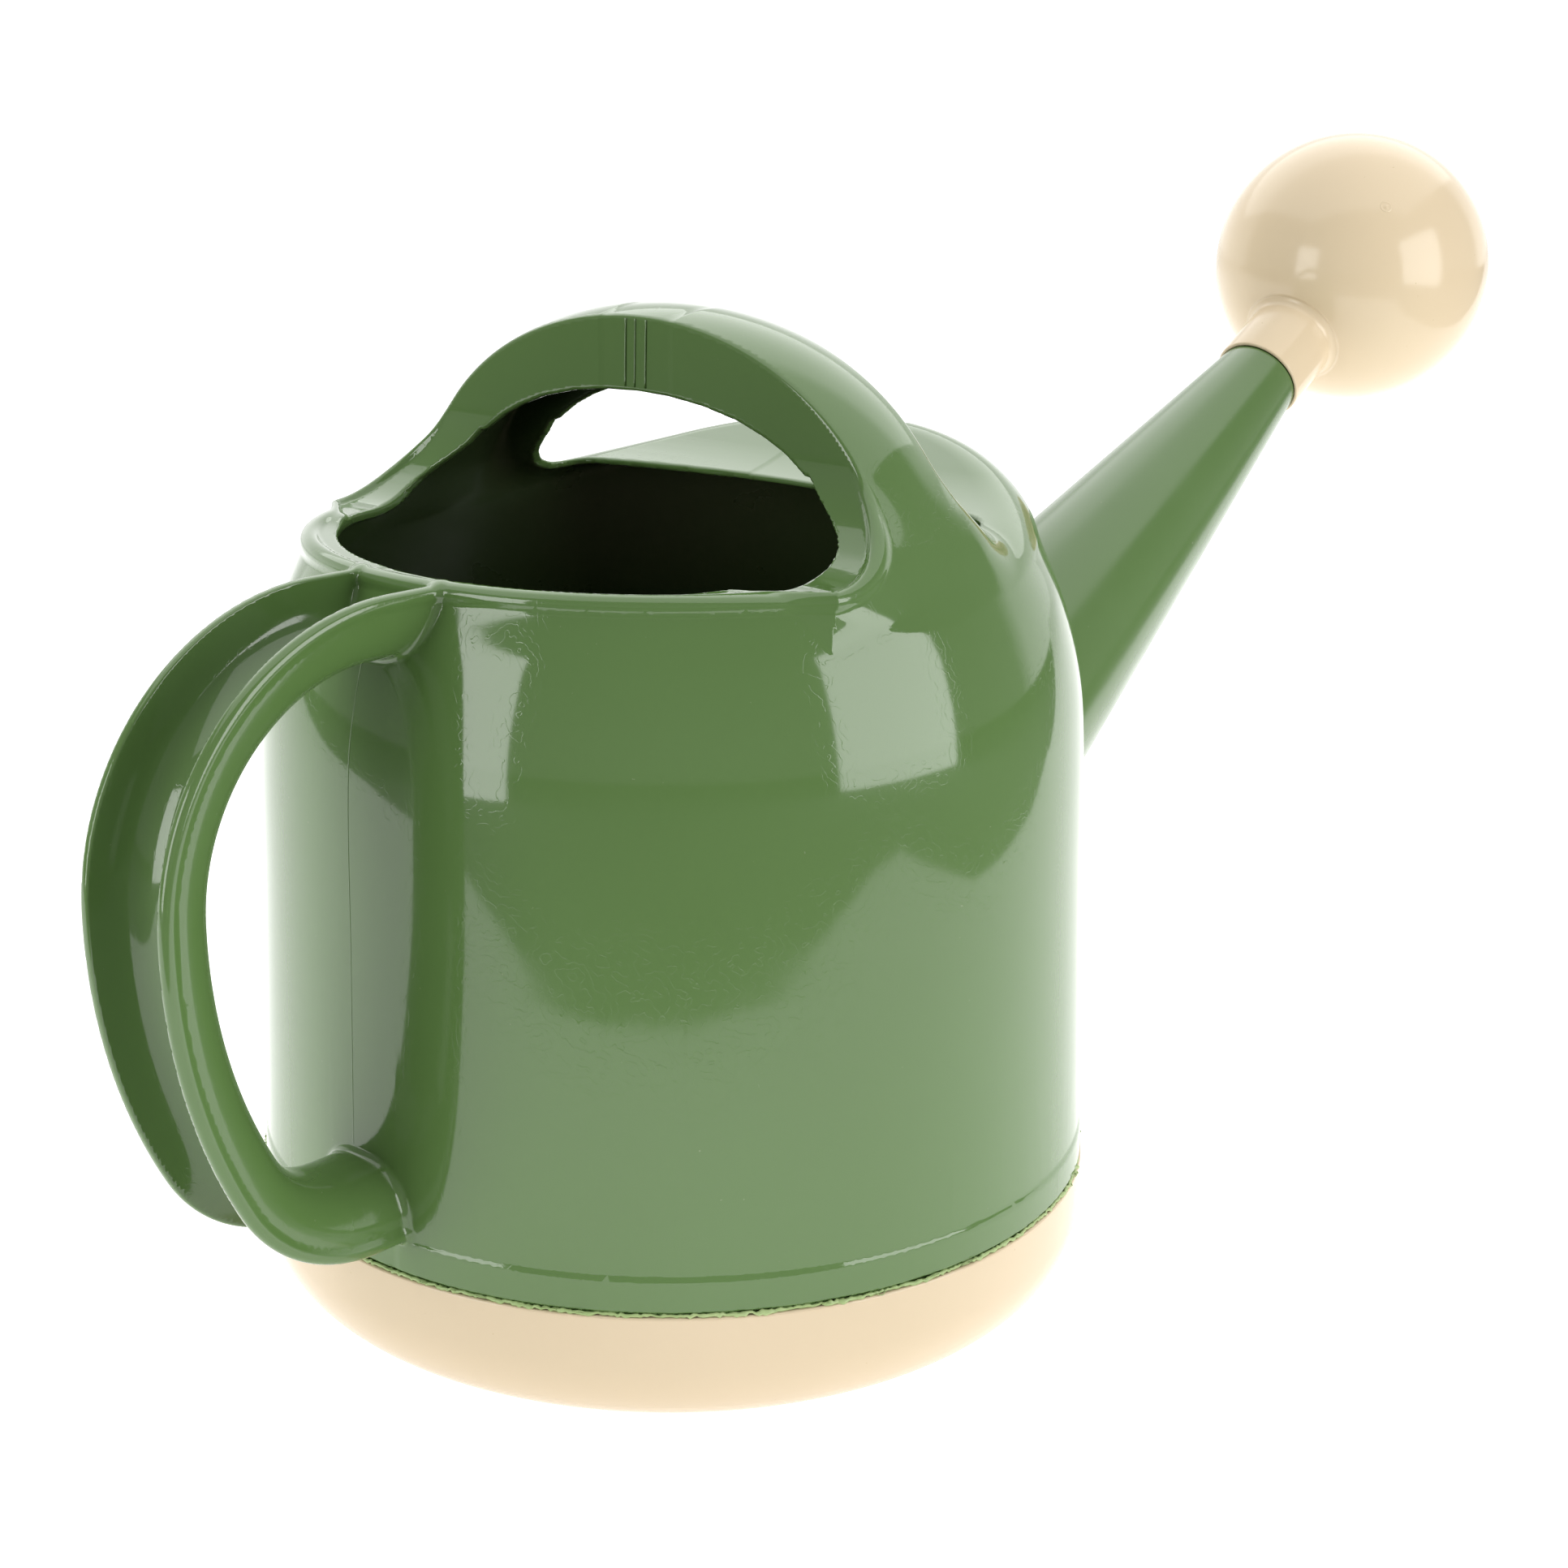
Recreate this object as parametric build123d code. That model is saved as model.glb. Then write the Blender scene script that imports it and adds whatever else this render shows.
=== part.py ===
from build123d import *
import math
import os

# Watering can, in millimetres. The origin is the centre of the base's underside,
# +Z is up and +X points the way the spout leaves. The rear handle is at -X.

# Tank wall
WALL = 2.6                   # wall of the green mouldings
WALL_RADIUS = 102.2          # outer radius of the wall, carried down to z = 0
WALL_DRAFT = 0.02            # loss of radius for each millimetre of height
SHOULDER_START = 142.0       # height where the wall starts to turn in
SHOULDER_MID = (97.0, 163.0)  # a point on the turn, and its end (radius, height)
SHOULDER_END = (88.0, 183.0)
SHOULDER_LEAN = 0.35         # how much of an inset lowers the shoulder's middle
DECK_HEIGHT = 185.0          # top of the flat ring round the filling mouth
BEAD_RADIUS = 85.5           # centre line of the raised bead
BEAD_THICK = 2.3             # radius of its section
BEAD_DROP = 0.8              # depth of its centre line below the deck
MOUTH_RADIUS = 80.0
CUT_FLOOR = 160.0            # height that the forms above the tank reach down to
CUT_HEIGHT = 70.0
STEP_HEIGHT = 39.0           # the wall is a little thicker below this line
STEP_DEPTH = 0.6

# Base cup
BASE_RADIUS = 101.9
BASE_HEIGHT = 30.2
BASE_CORNER = 19.5
BASE_WALL = 3.0
SPIGOT_DEPTH = 10.0          # how far the tank's lower edge reaches into the cup
SPIGOT_GAP = 0.15
EDGE_GAP = 0.2               # between the cup's rim and the edge of the wall above it

# Carrying bail: an arch across the can, from side to side
BAIL_HALF_DEPTH = 14.0       # from the middle plane to its front and rear faces
BAIL_TOP = 238.6
BAIL_UNDERSIDE = 218.6
BAIL_CROWN_DROP = 9.0        # how far the rounded crown falls at the faces
BAIL_HAUNCH = (46.6, 231.2)  # points on the outside of the arch (y, z)
BAIL_SIDE = (68.0, 215.0)
BAIL_ANKLE = (82.0, 194.0)
LEG_FOOT = (94.0, 178.0)     # where the outside of a leg meets the shoulder (y, z)
MOUTH_TICK = (53.0, 202.5)   # where the arch's underside meets the legs (y, z)
REAR_MOUTH_EDGE = -39.0      # where the round filling mouth starts to narrow to the bail
FRONT_MOUTH_EDGE = 37.0      # front edge of the slot in front of the bail, at its sides
FRONT_MOUTH_BOW = 2.0        # how far that edge bows to the front in the middle
FRONT_MOUTH_CORNER = (28.0, 68.0)
FRONT_MOUTH_SIDE = 62.0

# Hood: in front of the mouth the tank is closed by a cover that rises towards the spout
HOOD_RADIUS = 87.0
HOOD_LIP = (38.0, 189.0)     # where the cover starts, at the mouth (x, z)
HOOD_SLOPE = 22.8            # degrees
HOOD_EDGE = 11.0             # rounding of its outer edge

# Rear handle: a U-section channel, open on the outside
HANDLE_HALF_WIDTH = 14.2
HANDLE_WEB_HALF_WIDTH = 10.0
HANDLE_DEPTH = 18.0
HANDLE_WALL = 2.6
HANDLE_START = (-80.0, 185.0)
HANDLE_ARC_START_X = -101.0
HANDLE_ARCS = ((61.0, 90.0), (130.0, 30.0), (39.4, 60.0))   # (radius, degrees turned)
HANDLE_END_RUN = 20.0

# Spout and its tip
SPOUT_RISE = 30.0            # degrees above the horizon
SPOUT_TIP = (265.8, 0.0, 195.4)
SPOUT_TIP_RADIUS = 12.8
SPOUT_GROWTH = 0.117         # radius gained for each millimetre back from the tip
SPOUT_WALL = 2.2
SPOUT_BACK = 205.0           # length from the tip back to inside the tank
PLUG_LENGTH = 20.0
PLUG_RADIUS = 11.6
ROOT_FLANGE = 6.0
SEAL_PLACE = 12.0            # distance of the seal's middle beyond the tip
SEAL_WIDTH = 3.0
SEAL_DEPTH = 1.2

# Rose
ROSE_CENTRE = 64.0           # distance from the tip along the spout's axis
ROSE_RADIUS = 43.2
ROSE_WALL = 2.2
COLLAR_RADIUS = 13.8
COLLAR_BORE = 12.5
FACE_ANGLE = 45.0            # polar angle of the joint between shell and face
FACE_DOME_RADIUS = 60.0
FACE_WALL = 2.0
HOLE_RADIUS = 0.8
HOLE_RINGS = 6
HOLE_RING_STEP = 4.2
SKIRT_WALL = 1.6             # ring behind the face that sits inside the shell
SKIRT_GAP = 0.2

STANDING = (Align.CENTER, Align.CENTER, Align.MIN)

def wall_radius(z):
    return WALL_RADIUS - WALL_DRAFT * z


def export(shape, name):
    shape.label = name
    export_step(shape, os.path.join("parts", name + ".step"))


def turned(points_builder):
    """Solid of revolution about Z of the face that points_builder draws in XZ."""
    with BuildPart() as part:
        with BuildSketch(Plane.XZ):
            with BuildLine():
                points_builder()
            make_face()
        revolve(axis=Axis.Z)
    return part.part


def tank_outline(inset, bottom):
    """Outer line of the tank in XZ, moved in by inset, closed on the axis."""
    low = wall_radius(bottom) - inset
    start = wall_radius(SHOULDER_START) - inset
    top = DECK_HEIGHT - inset
    Line((0, bottom), (low, bottom))
    Line((low, bottom), (start, SHOULDER_START))
    mid = (SHOULDER_MID[0] - inset, SHOULDER_MID[1] - SHOULDER_LEAN * inset)
    end = (SHOULDER_END[0] - inset, SHOULDER_END[1] - inset)
    ThreePointArc((start, SHOULDER_START), mid, end)
    Polyline(end, (end[0] - (DECK_HEIGHT - SHOULDER_END[1]), top), (0, top))
    Line((0, top), (0, bottom))


def tank_outside():
    return turned(lambda: tank_outline(0, BASE_HEIGHT + EDGE_GAP))


def tank_inside():
    return turned(lambda: tank_outline(WALL, BASE_HEIGHT - SPIGOT_DEPTH - 2))


def bail_profile(inset):
    """Side view of the bail's solid form, above the shoulder, seen along X."""
    foot_y = LEG_FOOT[0] - inset
    foot_z = LEG_FOOT[1] - inset
    slant = 0.6 * inset
    right = [(0, BAIL_TOP - inset)]
    right.append((BAIL_HAUNCH[0] - inset / 3, BAIL_HAUNCH[1] - inset))
    right.append((BAIL_SIDE[0] - inset, BAIL_SIDE[1] - slant))
    right.append((BAIL_ANKLE[0] - inset, BAIL_ANKLE[1] - slant))
    right.append((foot_y, foot_z))
    left = [(-y, z) for y, z in right]
    with BuildSketch(Plane.YZ) as sketch:
        with BuildLine():
            Spline(right, tangents=[(1, 0), (0.55, -1)])
            Spline(left, tangents=[(-1, 0), (-0.55, -1)])
            Polyline((foot_y, foot_z), (foot_y, CUT_FLOOR), (-foot_y, CUT_FLOOR), (-foot_y, foot_z))
        make_face()
    return sketch.sketch


def bail_form(inset):
    depth = BAIL_HALF_DEPTH - inset
    form = extrude(bail_profile(inset), amount=depth, both=True)
    crown = form.edges().filter_by(GeomType.BSPLINE)
    return fillet(crown, BAIL_CROWN_DROP - inset)


def hood_form(inset):
    slope = math.radians(HOOD_SLOPE)
    round_bar = Pos(0, 0, CUT_FLOOR) * Cylinder(HOOD_RADIUS - inset, 90, align=STANDING)
    above = Plane(origin=(HOOD_LIP[0], 0, HOOD_LIP[1] - inset), x_dir=(0, 1, 0),
                  z_dir=(-math.sin(slope), 0, math.cos(slope)))
    form = round_bar - above * Box(400, 400, 200, align=STANDING)
    brim = form.edges().filter_by(GeomType.ELLIPSE)
    return fillet(brim, HOOD_EDGE - inset)


def mouth_cutters():
    """The openings behind and in front of the bail, and the arch through it."""
    tick_y, tick_z = MOUTH_TICK
    face = BAIL_HALF_DEPTH + 0.01
    start = REAR_MOUTH_EDGE
    side = math.sqrt(MOUTH_RADIUS ** 2 - start ** 2)
    with BuildSketch(Plane.XY.offset(CUT_FLOOR)) as plan:
        with BuildLine():
            ThreePointArc((start, side), (-MOUTH_RADIUS, 0), (start, -side))
            Polyline((start, -side), (-face, -tick_y), (-face, tick_y), (start, side))
        make_face()
    rear = extrude(plan.sketch, amount=CUT_HEIGHT)
    corner_x, corner_y = FRONT_MOUTH_CORNER
    right = [(face, tick_y), (corner_x, corner_y), (FRONT_MOUTH_EDGE, FRONT_MOUTH_SIDE)]
    left = [(x, -y) for x, y in reversed(right)]
    bow = [(FRONT_MOUTH_EDGE + FRONT_MOUTH_BOW, 0)]
    with BuildSketch(Plane.XY.offset(CUT_FLOOR)) as plan:
        with BuildLine():
            Polyline(right + bow + left, close=True)
        make_face()
    front = extrude(plan.sketch, amount=CUT_HEIGHT)
    with BuildSketch(Plane.YZ) as arch:
        with BuildLine():
            ThreePointArc((tick_y, tick_z), (0, BAIL_UNDERSIDE), (-tick_y, tick_z))
            Polyline((-tick_y, tick_z), (-tick_y, CUT_FLOOR), (tick_y, CUT_FLOOR), (tick_y, tick_z))
        make_face()
    through = extrude(arch.sketch, amount=face, both=True)
    return rear, front, through


def spout_plane(distance):
    """Plane across the spout's axis, at a distance beyond the tip."""
    angle = math.radians(SPOUT_RISE)
    along = Vector(math.cos(angle), 0, math.sin(angle))
    return Plane(origin=Vector(*SPOUT_TIP) + along * distance, x_dir=(0, 1, 0), z_dir=along)


def spout_cone(inset, back, front):
    """Cone on the spout's axis, from back behind the tip to front beyond it."""
    low = SPOUT_TIP_RADIUS + SPOUT_GROWTH * back - inset
    high = SPOUT_TIP_RADIUS - SPOUT_GROWTH * front - inset
    cone = Cone(low, high, back + front, align=STANDING)
    return spout_plane(-back) * cone


def tip_cylinder(radius, start, end):
    rod = Cylinder(radius, end - start, align=STANDING)
    return spout_plane(start) * rod


def body_shell():
    outside = tank_outside() + hood_form(0)
    bead = Pos(0, 0, DECK_HEIGHT - BEAD_DROP) * Torus(BEAD_RADIUS, BEAD_THICK)
    front_half = Box(400, 400, 20, align=(Align.MIN, Align.CENTER, Align.CENTER))
    bead = bead - Pos(-BAIL_HALF_DEPTH, 0, DECK_HEIGHT) * front_half
    edge = BASE_HEIGHT + EDGE_GAP
    back = WALL_RADIUS - WALL
    step_points = [(back, edge), (wall_radius(edge) + STEP_DEPTH, edge),
                   (wall_radius(STEP_HEIGHT) + STEP_DEPTH, STEP_HEIGHT), (back, STEP_HEIGHT + 0.8)]
    step = turned(lambda: Polyline(step_points, close=True))
    spigot_radius = BASE_RADIUS - BASE_WALL - SPIGOT_GAP
    spigot = Pos(0, 0, BASE_HEIGHT - SPIGOT_DEPTH) * Cylinder(spigot_radius, SPIGOT_DEPTH + 1, align=STANDING)
    outside = outside + bead + step + spigot
    cavity = tank_inside() + hood_form(WALL)
    rear, front, through = mouth_cutters()
    shell = outside - cavity - rear - front - bail_form(0) - spout_cone(0, SPOUT_BACK, 0)
    return shell


def top_bail():
    bail = bail_form(0) - bail_form(WALL) - tank_inside()
    rear, front, through = mouth_cutters()
    return bail - through - rear - front - hood_form(WALL)


def handle_path():
    """Line of the handle's rim, from the deck round to the foot of the wall."""
    with BuildLine() as path:
        piece = Line(HANDLE_START, (HANDLE_ARC_START_X, HANDLE_START[1]))
        for radius, turn in HANDLE_ARCS:
            piece = JernArc(piece @ 1, piece % 1, radius, turn)
        Line(piece @ 1, (piece @ 1) + (piece % 1) * HANDLE_END_RUN)
    return Rot(90, 0, 0) * path.line


def rear_handle():
    path = handle_path()
    rim = HANDLE_HALF_WIDTH
    web = HANDLE_WEB_HALF_WIDTH
    wall = HANDLE_WALL
    depth = HANDLE_DEPTH
    with BuildSketch(Plane(origin=path @ 0, x_dir=(0, 1, 0), z_dir=path % 0)) as section:
        with BuildLine():
            Polyline((rim, 0), (web, depth), (-web, depth), (-rim, 0), (-rim + wall, 0),
                     (-web + wall, depth - wall), (web - wall, depth - wall), (rim - wall, 0), close=True)
        make_face()
    return sweep(section.sketch, path=path)


def base_cup():
    def outline():
        Line((0, 0), (BASE_RADIUS - BASE_CORNER, 0))
        RadiusArc((BASE_RADIUS - BASE_CORNER, 0), (BASE_RADIUS, BASE_CORNER), -BASE_CORNER)
        inner = BASE_RADIUS - BASE_WALL
        corner = BASE_CORNER - BASE_WALL
        Polyline((BASE_RADIUS, BASE_CORNER), (BASE_RADIUS, BASE_HEIGHT), (inner, BASE_HEIGHT),
                 (inner, BASE_CORNER))
        RadiusArc((inner, BASE_CORNER), (inner - corner, BASE_WALL), corner)
        Polyline((inner - corner, BASE_WALL), (0, BASE_WALL), (0, 0))
    return turned(outline)


def spout():
    cone = spout_cone(0, SPOUT_BACK, 0) + tip_cylinder(PLUG_RADIUS, -0.5, PLUG_LENGTH)
    bore = spout_cone(SPOUT_WALL, SPOUT_BACK + 5, 0)
    bore = bore + tip_cylinder(PLUG_RADIUS - SPOUT_WALL + 0.3, -8, PLUG_LENGTH + 1)
    cone = cone - tank_inside()
    flange = spout_cone(-ROOT_FLANGE, SPOUT_BACK, 0)
    lining = turned(lambda: tank_outline(WALL, 40)) - turned(lambda: tank_outline(WALL + SPOUT_WALL, 39))
    root = flange & lining
    groove = tip_cylinder(PLUG_RADIUS + 2, SEAL_PLACE - SEAL_WIDTH / 2, SEAL_PLACE + SEAL_WIDTH / 2)
    groove = groove - tip_cylinder(PLUG_RADIUS - SEAL_DEPTH, SEAL_PLACE - SEAL_WIDTH, SEAL_PLACE + SEAL_WIDTH)
    return cone + root - bore - groove


def rose_seal():
    gap = 0.05
    outer = tip_cylinder(COLLAR_BORE - gap, SEAL_PLACE - SEAL_WIDTH / 2 + gap,
                         SEAL_PLACE + SEAL_WIDTH / 2 - gap)
    return outer - tip_cylinder(PLUG_RADIUS - SEAL_DEPTH + gap, 0, PLUG_LENGTH)


def rose_shell():
    ball = spout_plane(ROSE_CENTRE) * Sphere(ROSE_RADIUS)
    hollow = spout_plane(ROSE_CENTRE) * Sphere(ROSE_RADIUS - ROSE_WALL)
    joint = ROSE_RADIUS * math.cos(math.radians(FACE_ANGLE))
    collar = tip_cylinder(COLLAR_RADIUS, 0.3, ROSE_CENTRE - joint)
    front = tip_cylinder(ROSE_RADIUS + 5, ROSE_CENTRE + joint, ROSE_CENTRE + ROSE_RADIUS + 5)
    bore = tip_cylinder(COLLAR_BORE, 0, ROSE_CENTRE)
    return ball + collar - hollow - front - bore


def face_holes():
    """Centres of the holes in the rose's face: one in the middle and rings round it."""
    centres = [(0.0, 0.0)]
    for ring in range(1, HOLE_RINGS + 1):
        count = 6 * ring
        for index in range(count):
            angle = 2 * math.pi * index / count
            reach = ring * HOLE_RING_STEP
            centres.append((reach * math.cos(angle), reach * math.sin(angle)))
    return centres


def rose_face():
    rim = ROSE_RADIUS * math.sin(math.radians(FACE_ANGLE))
    joint = ROSE_CENTRE + ROSE_RADIUS * math.cos(math.radians(FACE_ANGLE))
    sink = math.sqrt(FACE_DOME_RADIUS ** 2 - rim ** 2)
    dome = Sphere(FACE_DOME_RADIUS) - Sphere(FACE_DOME_RADIUS - FACE_WALL)
    dome = spout_plane(joint - sink) * dome
    dome = dome & tip_cylinder(rim, joint, joint + FACE_DOME_RADIUS)
    hollow = ROSE_RADIUS - ROSE_WALL
    skirt_radius = math.sqrt(hollow ** 2 - (joint - ROSE_CENTRE) ** 2) - SKIRT_GAP
    skirt = tip_cylinder(skirt_radius, joint - 4, joint + 3)
    skirt = skirt - tip_cylinder(skirt_radius - SKIRT_WALL, joint - 5, joint + 4)
    face = dome + skirt
    holes = [spout_plane(joint - 8) * Pos(x, y, 0) * Cylinder(HOLE_RADIUS, 40) for x, y in face_holes()]
    return face - holes


def main():
    os.makedirs("parts", exist_ok=True)
    shell = body_shell()
    handle = rear_handle() - tank_outside() - shell
    handle = max(handle.solids(), key=lambda solid: solid.volume)
    export(shell, "body_shell")
    export(top_bail(), "top_bail")
    export(handle, "rear_handle")
    export(base_cup(), "base_cup")
    export(spout(), "spout")
    export(rose_seal(), "rose_seal")
    export(rose_shell(), "rose_shell")
    export(rose_face(), "rose_face")


main()
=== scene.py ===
"""Looks of the plastic watering can: the tank moulding as one seamless shell with its bead, bail and
handle, the welded base, the ball rose, and glossy moulded-plastic materials. Lengths are in millimetres
up to add_mesh, which turns them into metres."""
import math

import bpy
import numpy as np
from mathutils import Matrix, Vector


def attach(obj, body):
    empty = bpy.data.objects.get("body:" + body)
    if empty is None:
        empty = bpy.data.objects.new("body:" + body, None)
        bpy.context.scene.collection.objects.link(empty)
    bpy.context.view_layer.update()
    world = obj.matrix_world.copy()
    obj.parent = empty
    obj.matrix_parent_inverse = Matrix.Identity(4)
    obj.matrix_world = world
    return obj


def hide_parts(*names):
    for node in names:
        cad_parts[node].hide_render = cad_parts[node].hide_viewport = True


MM = 0.001

# Tank; the origin is under the middle of the base, +X to the spout
WALL = 2.6
WALL_RADIUS = 102.2              # at the foot
WALL_DRAFT = 0.02
WALL_TURN = 100.0                # height up to which the wall is straight
SHOULDER_SLOPE = -0.06           # of the radius over the height, where the shoulder starts
SHOULDER = ((142.0, 99.4), (157.0, 97.3), (170.0, 93.6), (183.0, 88.2), (200.0, 83.5), (220.0, 80.0))
BASE_TOP = 30.2
SPIGOT = (20.5, 98.7)            # lowest height and outer radius of the part inside the base
BASE_GAP = 0.15                  # between the groove's foot and the base's rim
STEP = (39.0, 0.45)              # height and depth of the step in the wall
GROOVE = (31.6, 0.9)             # top and depth of the groove above the base
DECK = 185.0                     # height of the sunk rear deck
DECK_RIM = 4.0                   # how much higher the tank would be without the sunk deck, at the back
HAUNCH_RIM = 1.5                 # the same beside the bail
FRONT_DECK = 188.3
HOOD_LIP = (38.0, 189.0)
HOOD_SLOPE = math.radians(22.8)
HOOD_FILLET = 8.0
REAR_EDGE = 4.0                  # rounding of the shoulder's edge behind the bail
FRONT_EDGE = 12.0                # and from the bail to the front
BAIL_HALF = 14.0
BAIL_BACK = 12.5                 # distance of its flat rear face from the middle plane
BAIL_ARCH = (77.5, 53.6, 185.0, 2.0)      # half span, rise, springing height, exponent
BAIL_CROWN = 35.0                # radius of the crown across the bail
BAIL_EDGE = 3.0
BAIL_FILLET = 19.0
HAUNCH_REACH = 20.0              # how far the bail's feet may stand outside the wall's line
MOUTH_RADIUS = 80.0
MOUTH_FLOOR = 150.0              # the opening is cut down to here
MOUTH_EDGE = 0.9
MOUTH = ((0, 218.6), (10, 218.3), (21, 217.0), (32, 214.6), (40, 211.7), (46, 208.8), (53, 204.2),
         (54.2, 204.2), (58, 200.2), (62.7, 196.6), (66.5, 193.7), (69.2, 190.8), (70.2, 188.0), (69.5, 185))
RECESS_FILLET = 25.0
BEAD = 1.6                       # radius of the bead round the sunk deck
BEAD_FADE = 3.0                  # taken off it up the bail, until nothing is left

# Rear handle
HANDLE_TOP = 185.0
HANDLE_ARCS = ((-99.8, 124.0, 61.0), (-30.8, 124.0, 130.0), (-109.26, 78.7, 39.4))    # (x, z, radius)
HANDLE_LAST_TURN = math.radians(210.0)    # where the lowest arc takes over
HANDLE_HALF = 14.5
HANDLE_DEPTH = 16.0
HANDLE_WALL = 2.5
HANDLE_POWER = 2.6               # of the superellipse of its section
HANDLE_ROOT = 86.0               # radius in the tank where the handle ends
RIM_RADIUS = 1.75                # of the rolled rim on the handle's edges

# Base
BASE_RADIUS = 102.4
BASE_CORNER = 19.5
BASE_WALL = 3.5

# Spout and rose
SPOUT_RISE = math.radians(30.0)
SPOUT_TIP = np.array((265.8, 0.0, 195.4))
SPOUT_TIP_RADIUS = 12.8
SPOUT_GROWTH = 0.117             # of the radius over the length, towards the tank
ROSE_CENTRE = 64.0
ROSE_RADIUS = 43.2
ROSE_WALL = 2.2
COLLAR_RADIUS = 13.8
COLLAR_FILLET = 3.0
BORE_RADIUS = 12.5

# Meshing
CELL = 0.9
MOST_TRIANGLES = 190000


# ---------------------------------------------------------------- distance fields

def meet(a, b, r):
    """Solid common to a and b, with the edge between them rounded to radius r."""
    return np.minimum(-r, np.maximum(a, b)) + np.hypot(np.maximum(r + a, 0), np.maximum(r + b, 0))


def join(a, b, r):
    """Solid made of a and b, with a fillet of radius r in the corner between them."""
    return np.maximum(r, np.minimum(a, b)) - np.hypot(np.maximum(r - a, 0), np.maximum(r - b, 0))


def ramp(v, start, end):
    """Smooth step from 0 at start to 1 at end."""
    t = np.clip((v - start) / (end - start), 0, 1)
    return t * t * (3 - 2 * t)


def super_arch(y, z, shape):
    """Distance to a superellipse that stands on straight sides below its springing height."""
    half, rise, base, power = shape
    u = np.abs(y) / half + 1e-6
    v = np.maximum(z - base, 0) / rise + 1e-6
    f = (u ** power + v ** power) ** (1 / power)
    slope = np.hypot((u / f) ** (power - 1) / half, (v / f) ** (power - 1) / rise)
    return (f - 1) / slope


def outline_table(points, low, high, step):
    """Signed distances to a closed outline on a grid, negative inside it."""
    u = np.arange(low[0], high[0] + step, step)
    v = np.arange(low[1], high[1] + step, step)
    uu, vv = np.meshgrid(u, v, indexing="ij")
    best = np.full(uu.shape, 1e9)
    inside = np.zeros(uu.shape, dtype=bool)
    for (ax, ay), (bx, by) in zip(points, points[1:] + points[:1]):
        ex, ey = bx - ax, by - ay
        t = np.clip(((uu - ax) * ex + (vv - ay) * ey) / (ex * ex + ey * ey), 0, 1)
        best = np.minimum(best, np.hypot(uu - ax - t * ex, vv - ay - t * ey))
        if by != ay:
            crossing = ax + (vv - ay) / (by - ay) * ex
            inside ^= ((ay > vv) != (by > vv)) & (uu < crossing)
    return np.where(inside, -best, best), low, step


def look_up(table, u, v):
    """Value of an outline_table between its grid points."""
    values, low, step = table
    fu = np.clip((u - low[0]) / step, 0, values.shape[0] - 1.001)
    fv = np.clip((v - low[1]) / step, 0, values.shape[1] - 1.001)
    i, j = fu.astype(int), fv.astype(int)
    a, b = fu - i, fv - j
    return ((1 - a) * (1 - b) * values[i, j] + a * (1 - b) * values[i + 1, j]
            + (1 - a) * b * values[i, j + 1] + a * b * values[i + 1, j + 1])


MOUTH_TABLE = outline_table(list(MOUTH) + [(69.5, 140), (-69.5, 140)] +
                            [(-y, z) for y, z in MOUTH[:0:-1]], (-5.0, 150.0), (110.0, 245.0), 0.25)


def wall_profile(z):
    """Outer radius of the round wall and its slope, from a cubic through the shoulder's points."""
    knots_z = np.array([0.0, WALL_TURN] + [p[0] for p in SHOULDER])
    knots_r = np.array([WALL_RADIUS, WALL_RADIUS - WALL_TURN * WALL_DRAFT] + [p[1] for p in SHOULDER])
    slopes = np.gradient(knots_r, knots_z)
    slopes[:2] = -WALL_DRAFT
    slopes[2] = SHOULDER_SLOPE
    z = np.clip(z, 0, knots_z[-1])
    i = np.clip(np.searchsorted(knots_z, z) - 1, 0, len(knots_z) - 2)
    h = knots_z[i + 1] - knots_z[i]
    t = (z - knots_z[i]) / h
    a, b, c, d = knots_r[i], knots_r[i + 1], slopes[i] * h, slopes[i + 1] * h
    radius = a + t * (c + t * (3 * (b - a) - 2 * c - d + t * (2 * (a - b) + c + d)))
    slope = (c + t * (2 * (3 * (b - a) - 2 * c - d) + t * 3 * (2 * (a - b) + c + d))) / h
    return radius, slope


def wall_field(x, y, z):
    """The round wall with its step and groove."""
    radius, slope = wall_profile(z)
    radius = radius + STEP[1] * ramp(z, STEP[0] + 1.0, STEP[0] - 1.0)
    radius = radius - GROOVE[1] * ramp(z, GROOVE[0], GROOVE[0] - 0.8)
    return (np.hypot(x, y) - radius) / np.hypot(1, slope)


def tank_outside(x, y, z):
    """Closed outer form of the tank with its hood and bail, before the mouth is cut."""
    wall = wall_field(x, y, z)
    deck_height = DECK + DECK_RIM
    deck_height = deck_height + (HAUNCH_RIM - DECK_RIM) * ramp(x, -70, -35)
    deck_height = deck_height + (FRONT_DECK - DECK - HAUNCH_RIM) * ramp(x, -10, 14)
    deck = z - deck_height
    hood = (z - HOOD_LIP[1]) * math.cos(HOOD_SLOPE) - (x - HOOD_LIP[0]) * math.sin(HOOD_SLOPE)
    top = join(deck, hood, HOOD_FILLET)
    edge = REAR_EDGE + (FRONT_EDGE - REAR_EDGE) * ramp(x, -50, -15)
    block = meet(wall, top, edge)
    across = np.minimum(np.abs(x), BAIL_HALF)
    crown = across * across / (2 * BAIL_CROWN) * ramp(z, 186, 212)
    arch = super_arch(y, z, BAIL_ARCH) + crown
    arch = meet(arch, x - BAIL_HALF, BAIL_EDGE)
    arch = np.maximum(arch, wall - HAUNCH_REACH * (1 - 3 * ramp(-x, 14, 70)))
    mass = join(block, arch, 1 + (BAIL_FILLET - 1) * ramp(z, 162, 192))
    recess = meet(x + BAIL_BACK, DECK - z, RECESS_FILLET)
    cut = meet(mass, -recess, 0.8)
    bead = np.hypot(mass + 0.6, recess - 0.5) - BEAD + BEAD_FADE * ramp(z, 192, 216)
    bead = np.maximum(bead, x + BAIL_BACK - 4)
    return join(cut, bead, 1.6)


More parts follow.
